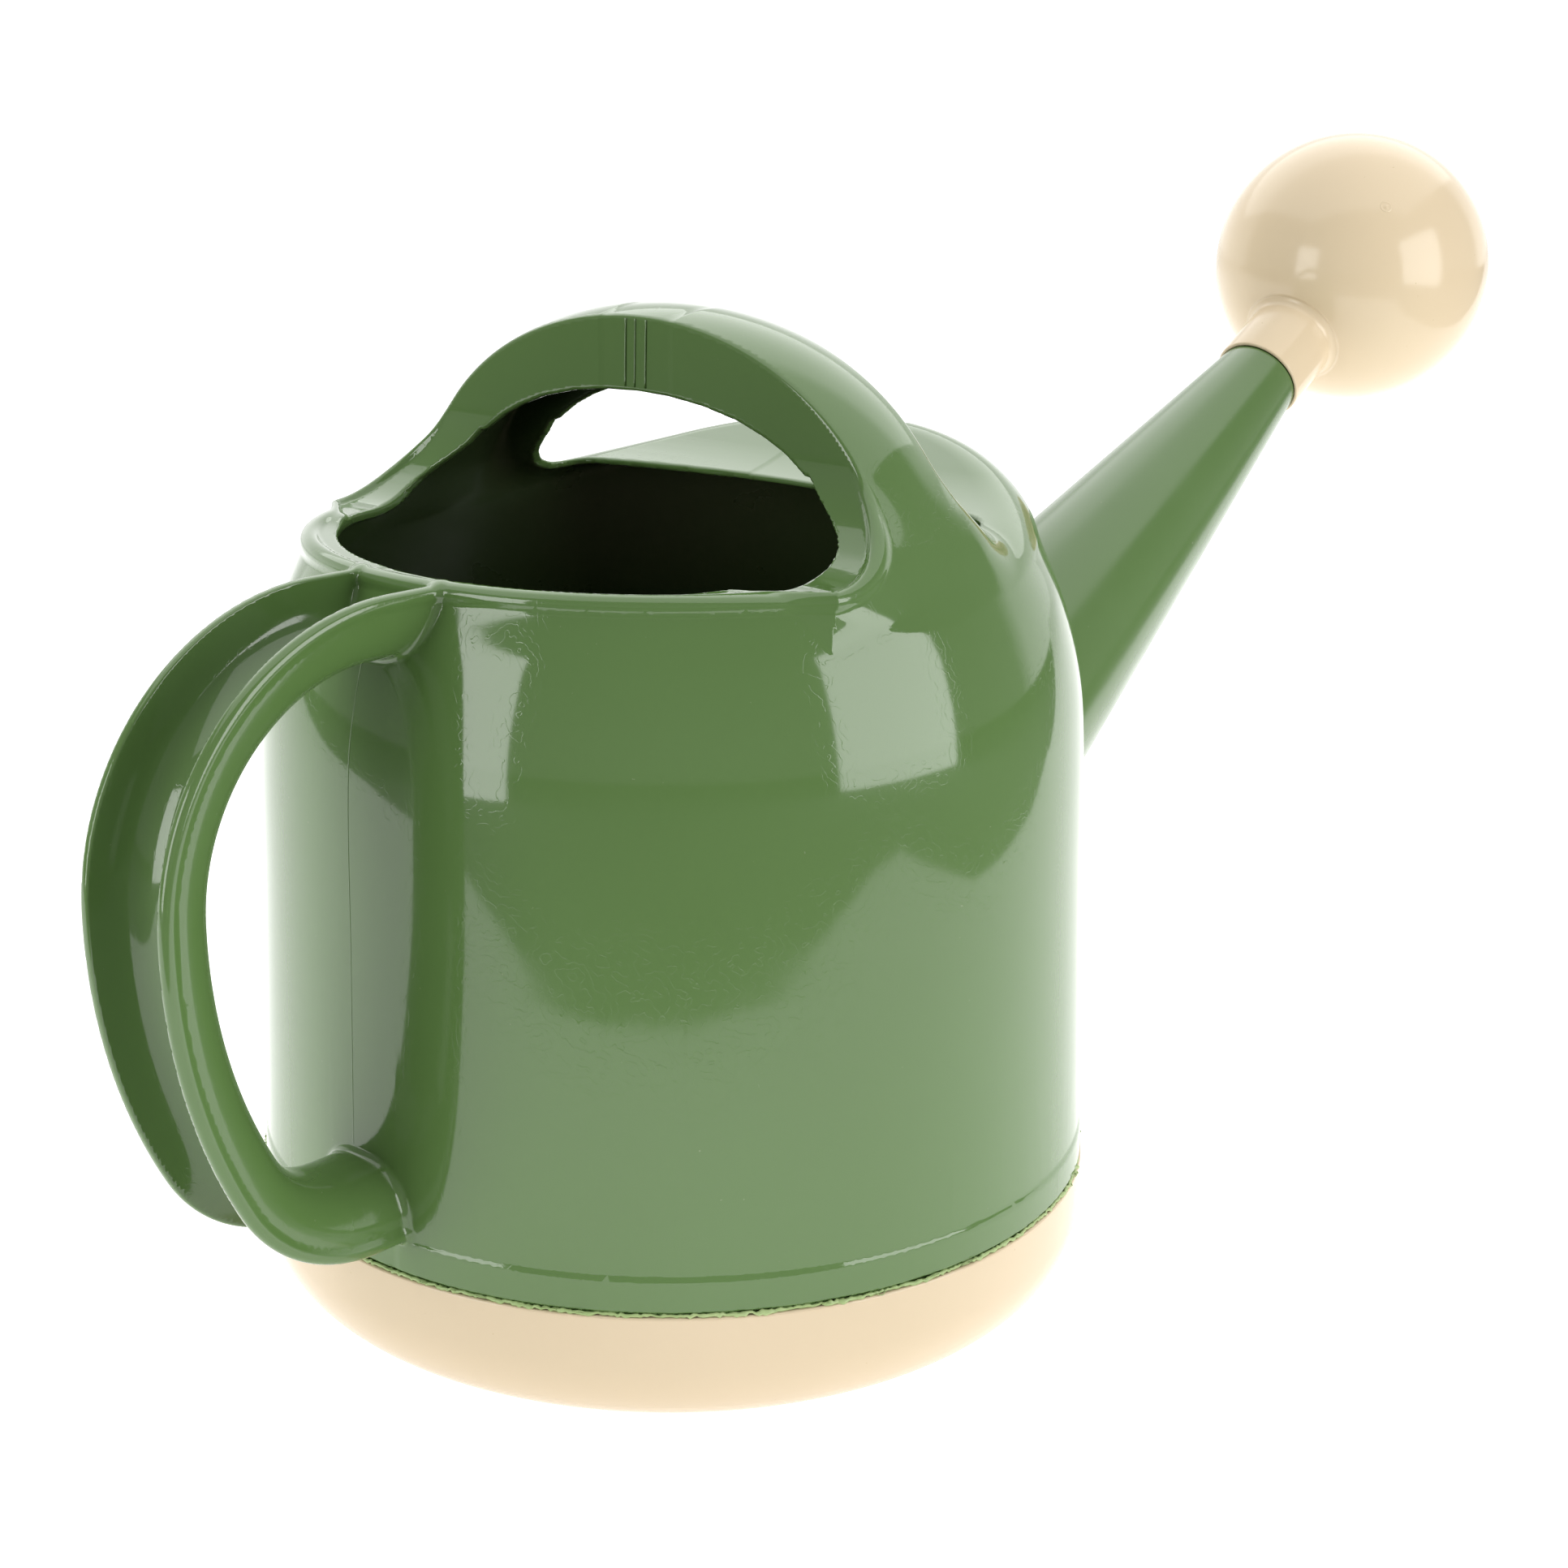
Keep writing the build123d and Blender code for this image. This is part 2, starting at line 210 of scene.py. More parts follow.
def mouth_field(x, y, z):
    """The one opening that runs under the bail, from the rear deck to the hood's lip."""
    arch = look_up(MOUTH_TABLE, np.abs(y), z)
    front = x - (HOOD_LIP[0] + 2.2 - (y / 71.0) ** 2 * 6.0)
    opening = meet(meet(arch, np.hypot(x, y) - MOUTH_RADIUS, 3.0), front, 7.0)
    return np.maximum(opening, MOUTH_FLOOR - z)


def handle_depth(x, z):
    """Depth below the handle's rim line, measured towards the tank."""
    (ax, az, ar), (bx, bz, br), (cx, cz, cr) = HANDLE_ARCS
    depth_a = ar - np.hypot(x - ax, z - az)
    depth_b = br - np.hypot(x - bx, z - bz)
    depth_c = cr - np.hypot(x - cx, z - cz)
    along = (x - bx) * -math.sin(HANDLE_LAST_TURN) + (z - bz) * math.cos(HANDLE_LAST_TURN)
    depth = np.where(z > az, depth_a, np.where(along < 0, depth_b, depth_c))
    depth = np.where((x > ax) & (z > az), HANDLE_TOP - z, depth)
    return np.where((x > cx) & (z < cz), z - (cz - cr), depth)


def handle_fields(x, y, z):
    """Outer form of the handle's U section, and the trough inside it."""
    depth = handle_depth(x, z)
    power = HANDLE_POWER
    u = np.abs(y) / HANDLE_HALF + 1e-6
    v = np.maximum(depth, 0) / HANDLE_DEPTH + 1e-6
    f = (u ** power + v ** power) ** (1 / power)
    slope = np.hypot((u / f) ** (power - 1) / HANDLE_HALF, (v / f) ** (power - 1) / HANDLE_DEPTH)
    section = (f - 1) / slope
    rim = np.hypot(section + 1.3, depth - 1.4) - RIM_RADIUS
    solid = join(meet(section, -depth, 0.8), rim, 0.8)
    return solid, section + HANDLE_WALL


def spout_field(x, y, z, inset):
    """The spout's outer cone, made smaller by inset."""
    cosine, sine = math.cos(SPOUT_RISE), math.sin(SPOUT_RISE)
    px, pz = x - SPOUT_TIP[0], z - SPOUT_TIP[2]
    t = px * cosine + pz * sine
    off = np.hypot(y, -px * sine + pz * cosine)
    return off - (SPOUT_TIP_RADIUS - SPOUT_GROWTH * t - inset)


def tank_field(x, y, z):
    """The whole green moulding: negative inside the plastic."""
    outside = tank_outside(x, y, z)
    foot = np.maximum(np.hypot(x, y) - SPIGOT[1], SPIGOT[0] - z)
    above = np.maximum(outside, BASE_TOP + BASE_GAP - z)
    outer = np.minimum(above, np.maximum(foot, z - BASE_TOP - 2))
    handle, trough = handle_fields(x, y, z)
    handle = np.maximum(np.maximum(handle, x + 70), HANDLE_ROOT - np.hypot(x, y))
    trough = meet(trough, -outside, 1.5)
    skin = meet(join(outer, handle, 1.8), -trough, 0.6)
    cavity = np.maximum(outside + WALL, np.hypot(x, y) - SPIGOT[1] + WALL)
    shell = np.maximum(skin, -cavity)
    shell = meet(shell, -mouth_field(x, y, z), MOUTH_EDGE)
    return np.maximum(shell, -np.maximum(spout_field(x, y, z, 1.0), -x))


# ---------------------------------------------------------------- meshing

def surface_net(field, low, high, step):
    """Quads on the zero level of field, one vertex in each cell that the level crosses."""
    axes = [np.arange(low[i], high[i] + step, step) for i in range(3)]
    values = np.empty([len(a) for a in axes], dtype=np.float32)
    gy, gz = np.meshgrid(axes[1], axes[2], indexing="ij")
    for i, x in enumerate(axes[0]):
        values[i] = field(np.full_like(gy, x), gy, gz)
    inside = values < 0
    cell_shape = [n - 1 for n in values.shape]
    total = np.zeros(cell_shape + [3], dtype=np.float32)
    count = np.zeros(cell_shape, dtype=np.int32)
    offsets = [(a, b, c) for a in (0, 1) for b in (0, 1) for c in (0, 1)]

    def corner(array, o):
        return array[tuple(slice(o[k], o[k] + cell_shape[k]) for k in range(3))]

    for o in offsets:
        for k in range(3):
            if o[k] == 1:
                continue
            p = list(o)
            p[k] = 1
            va, vb = corner(values, o), corner(values, p)
            hit = corner(inside, o) != corner(inside, p)
            t = np.where(hit, va / np.where(hit, va - vb, 1), 0)
            for m in range(3):
                total[..., m] += np.where(hit, o[m] + (t if m == k else 0), 0)
            count += hit
    index = np.full(cell_shape, -1, dtype=np.int64)
    cells = np.argwhere(count > 0)
    index[tuple(cells.T)] = np.arange(len(cells))
    local = total[tuple(cells.T)] / count[tuple(cells.T)][:, None]
    points = np.array(low) + (cells + local) * step
    faces = []
    for k in range(3):
        a, b = [m for m in range(3) if m != k]
        lo = [slice(1, -1)] * 3
        lo[k] = slice(0, -1)
        hi = list(lo)
        hi[k] = slice(1, None)
        first, second = inside[tuple(lo)], inside[tuple(hi)]
        base = np.argwhere(first != second)
        flip = first[tuple(base.T)]
        base[:, a] += 1
        base[:, b] += 1
        ring = []
        for da, db in ((0, 0), (-1, 0), (-1, -1), (0, -1)):
            c = base.copy()
            c[:, a] += da
            c[:, b] += db
            ring.append(index[tuple(c.T)])
        quad = np.stack(ring, 1)
        turn = flip if k != 1 else ~flip
        quad[~turn] = quad[~turn][:, ::-1]
        faces.append(quad)
    return points, np.concatenate(faces)


def gradient(field, points, reach=0.02):
    """Slope of field at each point, from differences over a small reach."""
    result = np.empty_like(points)
    for k in range(3):
        shift = np.zeros(3)
        shift[k] = reach
        a, b = points + shift, points - shift
        result[:, k] = (field(*a.T) - field(*b.T)) / (2 * reach)
    return result


def settle(field, points, rounds=4, limit=0.5):
    """Moves points on to the zero level of field."""
    for _ in range(rounds):
        g = gradient(field, points)
        value = field(*points.T)
        step = -value[:, None] * g / np.maximum((g * g).sum(1), 0.05)[:, None]
        length = np.linalg.norm(step, axis=1, keepdims=True)
        points = points + step * np.minimum(1, limit / np.maximum(length, 1e-9))
    return points


def add_mesh(name, points, faces, material, smooth=True):
    """Mesh object from points in millimetres."""
    mesh = bpy.data.meshes.new(name)
    mesh.from_pydata((np.asarray(points) * MM).tolist(), [], [list(map(int, f)) for f in faces])
    mesh.validate()
    obj = bpy.data.objects.new(name, mesh)
    bpy.context.scene.collection.objects.link(obj)
    mesh.materials.append(material)
    if smooth:
        mesh.shade_smooth()
    return obj


def lathe(name, outline, material, segments, frame_matrix=None):
    """Mesh of revolution about Z of a closed outline of (radius, height), optionally moved by a matrix."""
    rings = len(outline)
    angles = np.linspace(0, 2 * math.pi, segments, endpoint=False)
    points = [(r * math.cos(a), r * math.sin(a), h) for r, h in outline for a in angles]
    faces = []
    for i in range(rings):
        j = (i + 1) % rings
        for s in range(segments):
            n = (s + 1) % segments
            faces.append((i * segments + s, i * segments + n, j * segments + n, j * segments + s))
    points = np.array(points)
    if frame_matrix is not None:
        m = np.array(frame_matrix)
        points = points @ m[:3, :3].T + m[:3, 3]
    return add_mesh(name, points, faces, material)


def arc_points(cx, cz, radius, start, end, count):
    """Points on an arc between two angles in degrees."""
    angles = np.radians(np.linspace(start, end, count))
    return [(cx + radius * math.cos(a), cz + radius * math.sin(a)) for a in angles]


# ---------------------------------------------------------------- materials

def noise(nodes, links, place, scale, detail, low, high, to_low, to_high):
    """Noise at a scale, spread from to_low to to_high."""
    source = nodes.new("ShaderNodeTexNoise")
    source.inputs["Scale"].default_value = scale
    source.inputs["Detail"].default_value = detail
    links.new(place.outputs["Object"], source.inputs["Vector"])
    spread = nodes.new("ShaderNodeMapRange")
    spread.inputs["From Min"].default_value = low
    spread.inputs["From Max"].default_value = high
    spread.inputs["To Min"].default_value = to_low
    spread.inputs["To Max"].default_value = to_high
    links.new(source.outputs["Fac"], spread.inputs["Value"])
    return spread.outputs["Result"]


def plastic(name, colour, other, mark, roughness, index=1.55):
    """Glossy moulded plastic: drifting colour, small specks, smears, faint orange peel and scratches."""
    mat = bpy.data.materials.new(name)
    mat.use_nodes = True
    nodes, links = mat.node_tree.nodes, mat.node_tree.links
    shader = nodes["Principled BSDF"]
    shader.inputs["IOR"].default_value = index
    place = nodes.new("ShaderNodeTexCoord")
    tint = nodes.new("ShaderNodeMix")
    tint.data_type = "RGBA"
    tint.inputs["A"].default_value = (*colour, 1)
    tint.inputs["B"].default_value = (*other, 1)
    links.new(noise(nodes, links, place, 11.0, 3.0, 0.3, 0.7, 0.0, 1.0), tint.inputs["Factor"])
    specks = nodes.new("ShaderNodeMix")
    specks.data_type = "RGBA"
    specks.inputs["B"].default_value = (*mark, 1)
    links.new(tint.outputs["Result"], specks.inputs["A"])
    links.new(noise(nodes, links, place, 620.0, 2.0, 0.77, 0.80, 0.0, 0.5), specks.inputs["Factor"])
    links.new(specks.outputs["Result"], shader.inputs["Base Color"])
    links.new(noise(nodes, links, place, 38.0, 6.0, 0.30, 0.75, roughness * 0.85, roughness * 1.3),
              shader.inputs["Roughness"])
    scratches = nodes.new("ShaderNodeTexWave")
    scratches.inputs["Scale"].default_value = 90.0
    scratches.inputs["Distortion"].default_value = 40.0
    scratches.inputs["Detail"].default_value = 3.0
    links.new(place.outputs["Object"], scratches.inputs["Vector"])
    fine = nodes.new("ShaderNodeMapRange")
    fine.inputs["From Min"].default_value = 0.97
    links.new(scratches.outputs["Fac"], fine.inputs["Value"])
    marks = nodes.new("ShaderNodeBump")
    marks.inputs["Strength"].default_value = 0.06
    marks.inputs["Distance"].default_value = 0.0001
    links.new(fine.outputs["Result"], marks.inputs["Height"])
    peel = nodes.new("ShaderNodeBump")
    peel.inputs["Strength"].default_value = 0.25
    peel.inputs["Distance"].default_value = 0.0001
    links.new(noise(nodes, links, place, 70.0, 1.0, 0.0, 1.0, 0.0, 1.0), peel.inputs["Height"])
    links.new(marks.outputs["Normal"], peel.inputs["Normal"])
    links.new(peel.outputs["Normal"], shader.inputs["Normal"])
    return mat


# ---------------------------------------------------------------- pieces

def spout_matrix(distance):
    """Local Z along the spout's axis, origin at a distance beyond the tip."""
    along = Vector((math.cos(SPOUT_RISE), 0, math.sin(SPOUT_RISE)))
    side = Vector((0, 1, 0))
    up = along.cross(side)
    origin = Vector(SPOUT_TIP) + along * distance
    return Matrix(((up.x, side.x, along.x, origin.x), (up.y, side.y, along.y, origin.y),
                   (up.z, side.z, along.z, origin.z), (0, 0, 0, 1)))


def unit_gradient(field, points):
    g = gradient(field, points, 0.05)
    return g / np.maximum(np.linalg.norm(g, axis=1, keepdims=True), 1e-9)


def tank_moulding(material, step):
    """The green moulding: one half is meshed, mirrored and welded, then thinned."""
    points, faces = surface_net(tank_field, (-168, -1.5 * step, 17), (106, 106, 243), step)
    points = settle(tank_field, points)
    points[np.abs(points[:, 1]) < step * 0.6, 1] = 0
    faces = faces[(points[faces][:, :, 1] >= -1e-6).all(1)]
    other = faces[:, ::-1] + len(points)
    both = np.concatenate([points, points * (1, -1, 1)])
    obj = add_mesh("tank_moulding", both, np.concatenate([faces, other]), material)
    weld = obj.modifiers.new("weld", "WELD")
    weld.merge_threshold = 0.02 * MM
    thin = obj.modifiers.new("thin", "DECIMATE")
    thin.ratio = min(1.0, MOST_TRIANGLES / (4 * len(faces)))
    apply_modifiers(obj)
    set_normals(obj, tank_field)
    return obj


def paint_inside_shade(obj, material):
    """Gives the faces inside the tank their own material: the same green painted much darker as painted
    shade in the hollow, with a duller finish.
    """
    mesh = obj.data
    mesh.materials.append(material)
    centres = np.empty(len(mesh.polygons) * 3)
    mesh.polygons.foreach_get("center", centres)
    inside = tank_outside(*(centres.reshape(-1, 3) / MM).T) < -0.8 * WALL
    handle = centres.reshape(-1, 3)[:, 0] < -0.104
    mesh.polygons.foreach_set("material_index", (inside & ~handle).astype(np.int32))


def apply_modifiers(obj):
    """Keeps what the object's modifiers make of it as its own mesh."""
    graph = bpy.context.evaluated_depsgraph_get()
    mesh = bpy.data.meshes.new_from_object(obj.evaluated_get(graph))
    obj.modifiers.clear()
    obj.data = mesh


def set_normals(obj, field):
    """Shades a mesh by the slope of the distance field, so that facets don't show in the gloss."""
    mesh = obj.data
    points = np.empty(len(mesh.vertices) * 3)
    mesh.vertices.foreach_get("co", points)
    points = points.reshape(-1, 3) / MM
    points = settle(field, points, 2, 0.3)
    mesh.vertices.foreach_set("co", (points * MM).ravel())
    mesh.shade_smooth()
    mesh.normals_split_custom_set_from_vertices(unit_gradient(field, points).tolist())
    mesh.update()


def base_outline():
    """Section of the cup, (radius, height), with small roundings on its rim."""
    inner = BASE_RADIUS - BASE_WALL
    corner = BASE_CORNER - BASE_WALL
    turn = arc_points(BASE_RADIUS - BASE_CORNER, BASE_CORNER, BASE_CORNER, -90, 0, 24)
    rim = arc_points(BASE_RADIUS - 0.5, BASE_TOP - 0.5, 0.5, 0, 90, 6)
    lip = arc_points(inner + 0.4, BASE_TOP - 0.4, 0.4, 90, 180, 4)
    inside = arc_points(inner - corner, BASE_CORNER, corner, 0, -90, 16)
    return [(0.01, 0.0)] + turn + rim + lip + inside + [(0.01, BASE_WALL)]


def weld_flash(material):
    """Rough squeezed-out plastic along the spin-welded joint, with a few shavings."""
    rng = np.random.default_rng(7)
    count, ring = 900, 7
    angle = np.linspace(0, 2 * math.pi, count, endpoint=False)
    swell = 0.5 + 0.5 * np.sin(angle * 9 + 2 * np.sin(angle * 5)) * np.sin(angle * 31 + 1)
    size = 0.30 + 0.30 * rng.random(count) ** 2 + 0.25 * swell * rng.random(count)
    reach = 101.45 + 0.85 * rng.random(count) * swell
    height = BASE_TOP + 0.35 + 0.5 * (rng.random(count) - 0.3)
    points, faces = [], []
    for i in range(count):
        for k in range(ring):
            turn = 2 * math.pi * k / ring + 0.4 * rng.random()
            r = reach[i] + size[i] * math.cos(turn)
            rise = size[i] * math.sin(turn)
            points.append((r * math.cos(angle[i]), r * math.sin(angle[i]), height[i] + rise))
            j, n = (i + 1) % count, (k + 1) % ring
            faces.append((i * ring + k, i * ring + n, j * ring + n, j * ring + k))
    flash = add_mesh("weld_flash", points, [f[::-1] for f in faces], material)
    shavings, strips = [], []
    for _ in range(46):
        start = rng.random() * 2 * math.pi
        length = 1.0 + 3.0 * rng.random()
        rise = 1.2 * (rng.random() - 0.3)
        steps = 7
        first = len(shavings)
        for m in range(steps):
            t = m / (steps - 1)
            a = start + t * length / 102
            lift = math.sin(math.pi * t)
            for dr, dz in ((0, -0.14), (0.16, 0), (0, 0.14), (-0.16, 0)):
                r = 101.75 + 1.0 * lift + dr
                shavings.append((r * math.cos(a), r * math.sin(a), BASE_TOP + 0.45 + rise * lift + dz))
        for m in range(steps - 1):
            for k in range(4):
                n = (k + 1) % 4
                q = first + m * 4
                strips.append((q + k, q + n, q + 4 + n, q + 4 + k))
        strips.append((first + 3, first + 2, first + 1, first))
        last = first + (steps - 1) * 4
        strips.append((last, last + 1, last + 2, last + 3))
    curls = add_mesh("weld_shavings", shavings, strips, material)
    return flash, curls


def ridge_strip(name, path, half_width, lift, material):
    """Thin raised line along a path of (point, outward normal, sideways) triples."""
    points, faces = [], []
    count = len(path)
    for i, (place, out, side) in enumerate(path):
        fade = min(1.0, 6.0 * min(i, count - 1 - i) / count + 0.05)
        for across, up in ((-1, -0.3), (-0.5, 0.7), (0, 1), (0.5, 0.7), (1, -0.3)):
            points.append(np.array(place) + np.array(side) * across * half_width
                          + np.array(out) * up * lift * fade)
    for i in range(count - 1):
        for k in range(4):
            q = i * 5 + k
            faces.append((q, q + 1, q + 6, q + 5))
        faces.append((i * 5 + 4, i * 5, i * 5 + 5, i * 5 + 9))
    faces.append((4, 3, 2, 1, 0))
    faces.append(tuple((count - 1) * 5 + k for k in range(5)))
    return add_mesh(name, points, faces, material)


def mould_lines(material):
    """Joints of the mould's inserts: three down the bail's rear face, one down the back wall."""
    pieces = []
    lines = ((-3.3, 0.28, 0.16), (0.2, 0.22, 0.07), (3.3, 0.28, 0.16))    # sideways, half width, lift
    for number, (y, half, lift) in enumerate(lines):
        path = [((-BAIL_BACK - 0.02, y - 0.02 * (z - 228), z), (-1, 0, 0), (0, -1, 0))
                for z in np.linspace(219.6, 235.6, 12)]
        pieces.append(ridge_strip(f"bail_mould_line_{number}", path, half, lift, material))
    path = []
    for z in np.linspace(52, 168, 60):
        radius = float(wall_profile(np.array(z))[0])
        path.append(((-math.sqrt(radius ** 2 - 9.0), 3.0, z), (-1, 0, 0), (0, -1, 0)))
    pieces.append(ridge_strip("back_mould_line", path, 0.25, 0.10, material))
    return pieces


def rose_outline():
    """Section of the ball and its collar about the spout's axis; height is the distance beyond the tip."""
    joint = ROSE_CENTRE + ROSE_RADIUS * math.cos(math.radians(45))
    reach = ROSE_RADIUS + COLLAR_FILLET
    fillet_r = COLLAR_RADIUS + COLLAR_FILLET
    fillet_h = ROSE_CENTRE - math.sqrt(reach ** 2 - fillet_r ** 2)
    touch = math.degrees(math.atan2(fillet_h - ROSE_CENTRE, fillet_r))
    outer = arc_points(COLLAR_RADIUS - 0.6, 0.95, 0.6, -90, 0, 6)
    outer += arc_points(fillet_r, fillet_h, COLLAR_FILLET, 180, touch + 180, 12)
    outer += arc_points(0, ROSE_CENTRE, ROSE_RADIUS, touch, 44.6, 110)
    edge = [(ROSE_RADIUS * math.sin(math.radians(45)) - 0.3, joint)]
    inner_radius = ROSE_RADIUS - ROSE_WALL
    inner_end = math.degrees(math.asin((joint - ROSE_CENTRE) / inner_radius))
    inner_start = -math.degrees(math.acos(BORE_RADIUS / inner_radius))
    inner = arc_points(0, ROSE_CENTRE, inner_radius, inner_end, inner_start, 60)
    bore = [(BORE_RADIUS, 0.9), (BORE_RADIUS + 0.4, 0.35)]
    return outer + edge + inner + bore


def gate_mark(material):
    """Small ring-and-pip left where the ball was filled, on its side towards the collar."""
    centre = np.array(spout_matrix(ROSE_CENTRE).translation)
    out = np.array((-0.62, -0.60, 0.50))
    out /= np.linalg.norm(out)
    side = np.cross(out, (0, 0, 1.0))
    side /= np.linalg.norm(side)
    up = np.cross(side, out)
    points, faces = [], []
    profile = ((0.01, 0.28), (0.5, 0.24), (0.8, 0.02), (1.2, -0.02), (1.5, 0.12), (1.8, 0.10), (2.1, -0.3))
    segments = 28
    for r, h in profile:
        for s in range(segments):
            a = 2 * math.pi * s / segments
            surface = ROSE_RADIUS - r * r / (2 * ROSE_RADIUS)
            points.append(centre + out * (surface + h) + (side * math.cos(a) + up * math.sin(a)) * r)
    for i in range(len(profile) - 1):
        for s in range(segments):
            n = (s + 1) % segments
            here, there = i * segments, (i + 1) * segments
            faces.append((here + s, there + s, there + n, here + n))
    return add_mesh("gate_mark", points, faces, material)


GREEN = ((0.082, 0.152, 0.043), (0.088, 0.162, 0.048), (0.20, 0.24, 0.14))     # two shades, specks
CREAM = ((0.63, 0.51, 0.345), (0.65, 0.53, 0.36), (0.40, 0.28, 0.16))
# The base's cream: the same plastic as the ball, painted darker as painted shade against the bright floor's
# light
BASE_CREAM_PAINTED_SHADE = ((0.56, 0.455, 0.31), (0.58, 0.47, 0.325), (0.40, 0.28, 0.16))
# The inside of the tank: the same green plastic painted darker, as painted shade in the hollow tank
INSIDE_GREEN_PAINTED_SHADE = ((0.030, 0.052, 0.016), (0.034, 0.058, 0.019), (0.08, 0.10, 0.05))
TORN_GREEN = ((0.24, 0.34, 0.12), (0.36, 0.45, 0.20), (0.50, 0.56, 0.36))
BLACK = ((0.012, 0.012, 0.012), (0.02, 0.02, 0.02), (0.06, 0.06, 0.06))
CREAM_INDEX = 1.43


def main():
    """Makes every piece, puts it on its body, and gives the CAD nodes that stay their materials."""
    green = plastic("green_moulded_plastic", *GREEN, 0.07)
    cream = plastic("cream_moulded_plastic", *CREAM, 0.13, CREAM_INDEX)
    # painted shade: a darker copy of the cream plastic for the base cup
    pale = plastic("cream_plastic_base_painted_shade", *BASE_CREAM_PAINTED_SHADE, 0.13, CREAM_INDEX)
    # painted shade for the inside of the tank, not a different plastic
    painted_inside_shade = plastic("green_plastic_inside_painted_shade", *INSIDE_GREEN_PAINTED_SHADE, 0.30)
    torn = plastic("green_plastic_torn", *TORN_GREEN, 0.45)
    black = plastic("black_seal_rubber", *BLACK, 0.5)
    satin = plastic("green_plastic_spout", *GREEN, 0.20)
    tank = tank_moulding(green, CELL)
    paint_inside_shade(tank, painted_inside_shade)
    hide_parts("body_shell", "top_bail", "rear_handle")
    base = lathe("base_cup_moulding", base_outline(), pale, 256)
    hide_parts("base_cup")
    rose = lathe("rose_ball", rose_outline(), cream, 192, spout_matrix(0))
    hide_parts("rose_shell")
    on_can = [tank, base, *weld_flash(torn), *mould_lines(green)]
    for piece in on_can:
        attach(piece, "can")
    for piece in (rose, gate_mark(cream)):
        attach(piece, "rose")
    for node, look in (("spout", satin), ("rose_face", cream), ("rose_seal", black)):
        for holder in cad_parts[node].material_slots:
            holder.material = look


# ---------------------------------------------------------------- studio

def floor_material(name, shade, glow=0.0):
    """Matt pale surface, which may shine a little by itself."""
    mat = bpy.data.materials.new(name)
    mat.use_nodes = True
    inputs = mat.node_tree.nodes["Principled BSDF"].inputs
    inputs["Emission Color"].default_value = (1, 1, 1, 1)
    inputs["Emission Strength"].default_value = glow
    inputs["Base Color"].default_value = (shade, shade, shade, 1)
    inputs["Roughness"].default_value = 0.9
    inputs["Specular IOR Level"].default_value = 0.0
    return mat


# Outline of the table top, in metres; its near edge is what the can's lower wall mirrors
TABLE = ((-0.60, 14.0), (-0.60, 0.15), (-0.49, 0.045), (-0.395, -0.067), (-0.30, -0.225), (-0.212, -0.321),
         (-0.101, -0.402), (0.034, -0.525), (0.106, -0.554), (0.246, -0.379), (0.452, -0.283), (0.70, -0.24),
         (14.0, -0.24), (14.0, 14.0))


def stage():
    """A white table top under the can, on a pale floor that starts beyond its edge."""
    table = add_mesh("table", [(x / MM, y / MM, -0.3) for x, y in TABLE], [tuple(range(len(TABLE)))],
                     floor_material("white_table", 0.8, 0.72), smooth=False)
    wide = 6.0 / MM
    ground = add_mesh("ground", [(-wide, -wide, -2), (wide, -wide, -2), (wide, wide, -2), (-wide, wide, -2)],
                      [(0, 1, 2, 3)], floor_material("pale_floor", 0.22), smooth=False)


def area_light(name, place, aim, size, radiance):
    """Rectangular lamp of a given brightness, turned from its place to the point it aims at."""
    data = bpy.data.lights.new(name, "AREA")
    data.shape = "RECTANGLE"
    data.size, data.size_y = size
    data.energy = radiance * math.pi * size[0] * size[1]
    obj = bpy.data.objects.new(name, data)
    bpy.context.scene.collection.objects.link(obj)
    obj.location = place
    direction = Vector(aim) - Vector(place)
    obj.rotation_euler = direction.to_track_quat("-Z", "Y").to_euler()


def polar(azimuth, distance, height):
    """Place at a distance from the can's axis, by its angle from +X in degrees."""
    return (distance * math.cos(math.radians(azimuth)), distance * math.sin(math.radians(azimuth)), height)


BACKDROP_SIDE = (0.723, 0.691, 0.0)       # horizontal direction in which the camera looks
BACKDROP_STRENGTH = 1.5
ROOM_STRENGTH = 0.42
CEILING_SHARE = 0.70                      # brightness of the upper surroundings, of that lower down


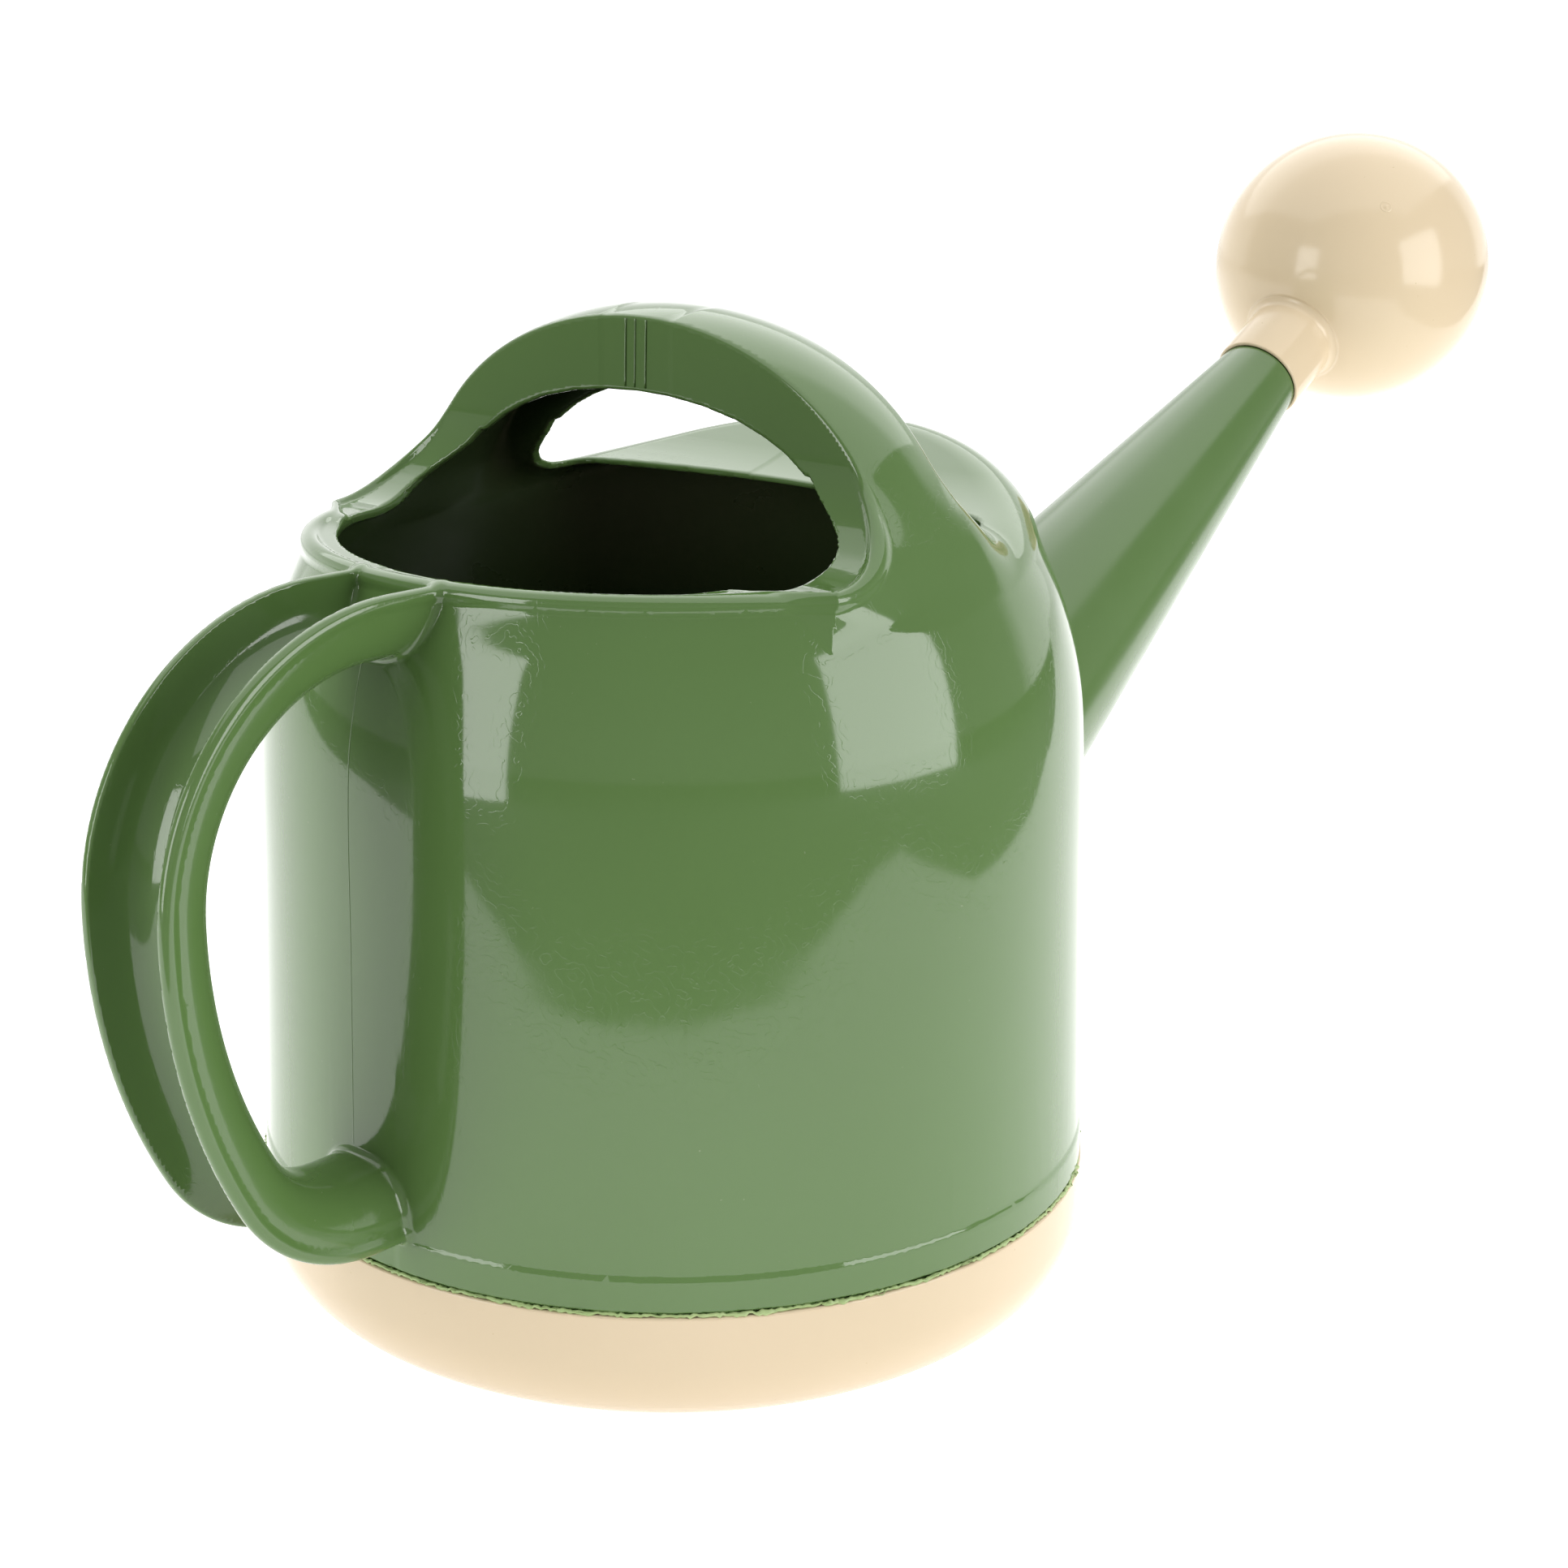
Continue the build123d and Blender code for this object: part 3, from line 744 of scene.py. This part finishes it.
def lights():
    """White surroundings behind the can, a dim room behind the camera, two softboxes and a top light."""
    world = bpy.context.scene.world or bpy.data.worlds.new("World")
    bpy.context.scene.world = world
    world.use_nodes = True
    nodes, links = world.node_tree.nodes, world.node_tree.links
    background = nodes["Background"]
    place = nodes.new("ShaderNodeTexCoord")
    facing = nodes.new("ShaderNodeVectorMath")
    facing.operation = "DOT_PRODUCT"
    facing.inputs[1].default_value = BACKDROP_SIDE
    links.new(place.outputs["Generated"], facing.inputs[0])
    sides = nodes.new("ShaderNodeMapRange")
    sides.inputs["From Min"].default_value = 0.36
    sides.inputs["From Max"].default_value = 0.48
    sides.inputs["To Min"].default_value = ROOM_STRENGTH
    sides.inputs["To Max"].default_value = BACKDROP_STRENGTH
    links.new(facing.outputs["Value"], sides.inputs["Value"])
    split = nodes.new("ShaderNodeSeparateXYZ")
    links.new(place.outputs["Generated"], split.inputs["Vector"])
    height = nodes.new("ShaderNodeMapRange")
    height.inputs["From Min"].default_value = 0.12
    height.inputs["From Max"].default_value = 0.50
    height.inputs["To Min"].default_value = 1.0
    height.inputs["To Max"].default_value = CEILING_SHARE
    links.new(split.outputs["Z"], height.inputs["Value"])
    both = nodes.new("ShaderNodeMath")
    both.operation = "MULTIPLY"
    links.new(sides.outputs["Result"], both.inputs[0])
    links.new(height.outputs["Result"], both.inputs[1])
    links.new(both.outputs["Value"], background.inputs["Strength"])
    background.inputs["Color"].default_value = (1, 1, 1, 1)
    area_light("top_light", (0.35, 0.30, 1.6), (0, 0, 0.1), (3.4, 3.4), 1.3)
    area_light("left_softbox", polar(170, 1.0, 0.30), (0, 0, 0.25), (0.42, 0.72), 5.0)
    area_light("right_softbox", polar(284, 1.2, 0.40), (0, 0, 0.25), (0.80, 0.78), 5.0)


# Camera, in metres
CAMERA_PLACE = (-0.44061, -0.42086, 0.29781)
CAMERA_DIRECTION = (0.71380, 0.66675, -0.21432)
CAMERA_SENSOR = 36.0
CAMERA_LENS = 58.955
CAMERA_SHIFT = (0.0532, -0.1112)


def camera():
    data = bpy.data.cameras.new("camera")
    data.sensor_width = CAMERA_SENSOR
    data.lens = CAMERA_LENS
    data.shift_x, data.shift_y = CAMERA_SHIFT
    data.clip_start = 0.01
    obj = bpy.data.objects.new("camera", data)
    bpy.context.scene.collection.objects.link(obj)
    obj.location = CAMERA_PLACE
    obj.rotation_euler = Vector(CAMERA_DIRECTION).to_track_quat("-Z", "Y").to_euler()
    bpy.context.scene.camera = obj


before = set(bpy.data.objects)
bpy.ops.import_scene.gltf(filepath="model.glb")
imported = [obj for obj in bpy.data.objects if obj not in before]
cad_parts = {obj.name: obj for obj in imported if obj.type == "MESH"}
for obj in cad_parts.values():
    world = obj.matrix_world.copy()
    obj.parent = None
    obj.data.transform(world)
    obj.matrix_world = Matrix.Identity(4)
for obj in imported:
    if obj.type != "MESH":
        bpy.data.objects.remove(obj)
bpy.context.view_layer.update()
main()
stage()
lights()
camera()
bpy.context.scene.view_settings.view_transform = "Standard"
